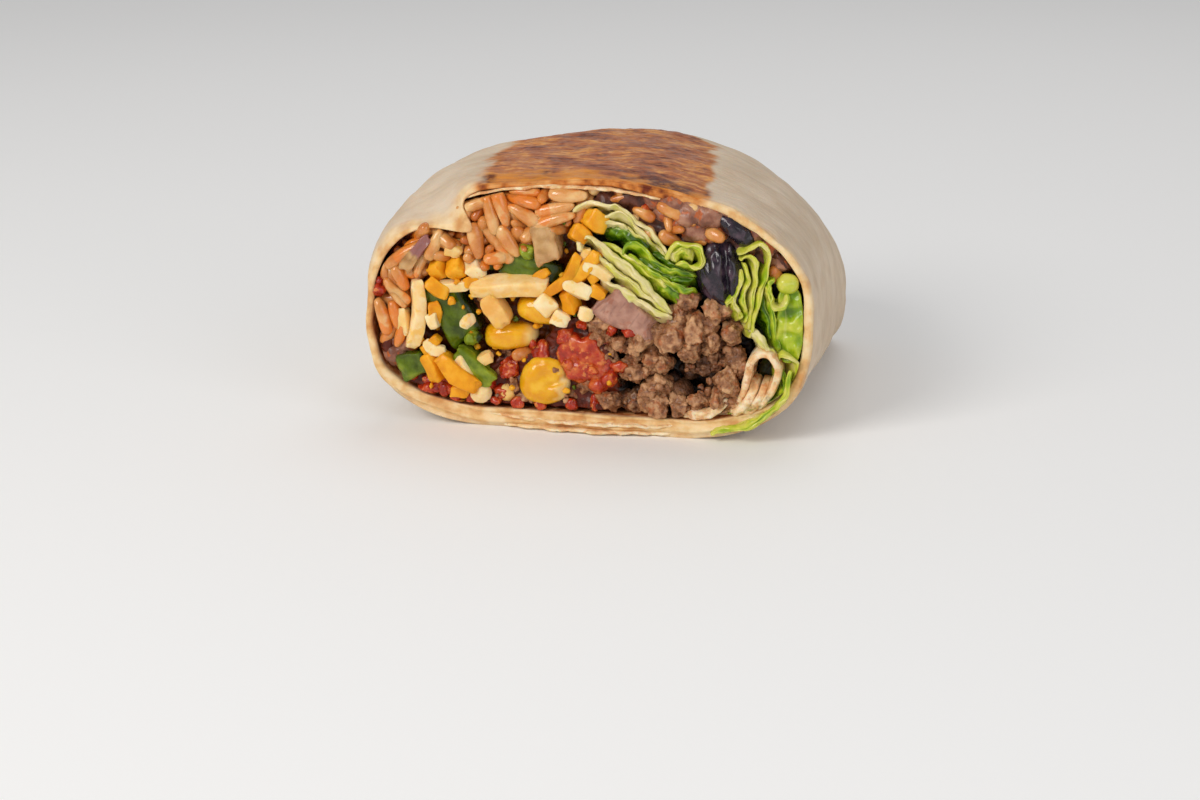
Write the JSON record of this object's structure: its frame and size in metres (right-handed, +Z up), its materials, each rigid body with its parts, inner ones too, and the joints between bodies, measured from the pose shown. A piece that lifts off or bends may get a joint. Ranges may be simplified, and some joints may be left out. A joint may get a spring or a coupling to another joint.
{
  "type": "burrito half",
  "caption": "Half of a grilled burrito cut straight across, closed at the far end, showing rice, beans, corn, cheese, peppers, lettuce and beef at the cut.",
  "frame": {"origin": "middle of the footprint, on the surface the half rests on", "axes": "+Z up; the cut face looks along -Y and the folded closed end is at +Y; X runs across the cut face"},
  "size_m": [0.084, 0.08, 0.048],
  "materials": {
    "tortilla": "matt baked flour dough, browned on top and underneath",
    "rice": "moist orange-red rice grains",
    "bean_rice": "rice in mashed bean, moist and sticky",
    "lettuce": "crisp leaf, waxy, pale at the rib",
    "cheese": "shredded cheese, slightly melted",
    "salsa": "wet red-brown sauce with vegetable bits",
    "beef": "crumbled browned meat",
    "corn": "smooth wet kernel skin",
    "black_bean": "dark wrinkled skin",
    "pepper": "wet green pepper flesh and skin",
    "onion": "translucent cooked onion",
    "tomato": "wet tomato flesh"
  },
  "bodies": {
    "root": {"tortilla": "tortilla", "rice": "rice", "bean_rice": "bean_rice", "lettuce_middle": "lettuce", "cheese": "cheese", "salsa": "salsa", "beef": "beef", "lettuce_side": "lettuce", "corn_upper": "corn", "corn_middle": "corn", "corn_lower": "corn", "black_bean_large": "black_bean", "black_bean_small": "black_bean", "chile_dark": "pepper", "chile_olive": "pepper", "pepper_green": "pepper", "pepper_left": "pepper", "onion_upper": "onion", "onion_purple": "onion", "tomato_large": "tomato", "tomato_small": "tomato", "tomato_left": "tomato", "beef_slice": "beef"}
  },
  "joints": []
}
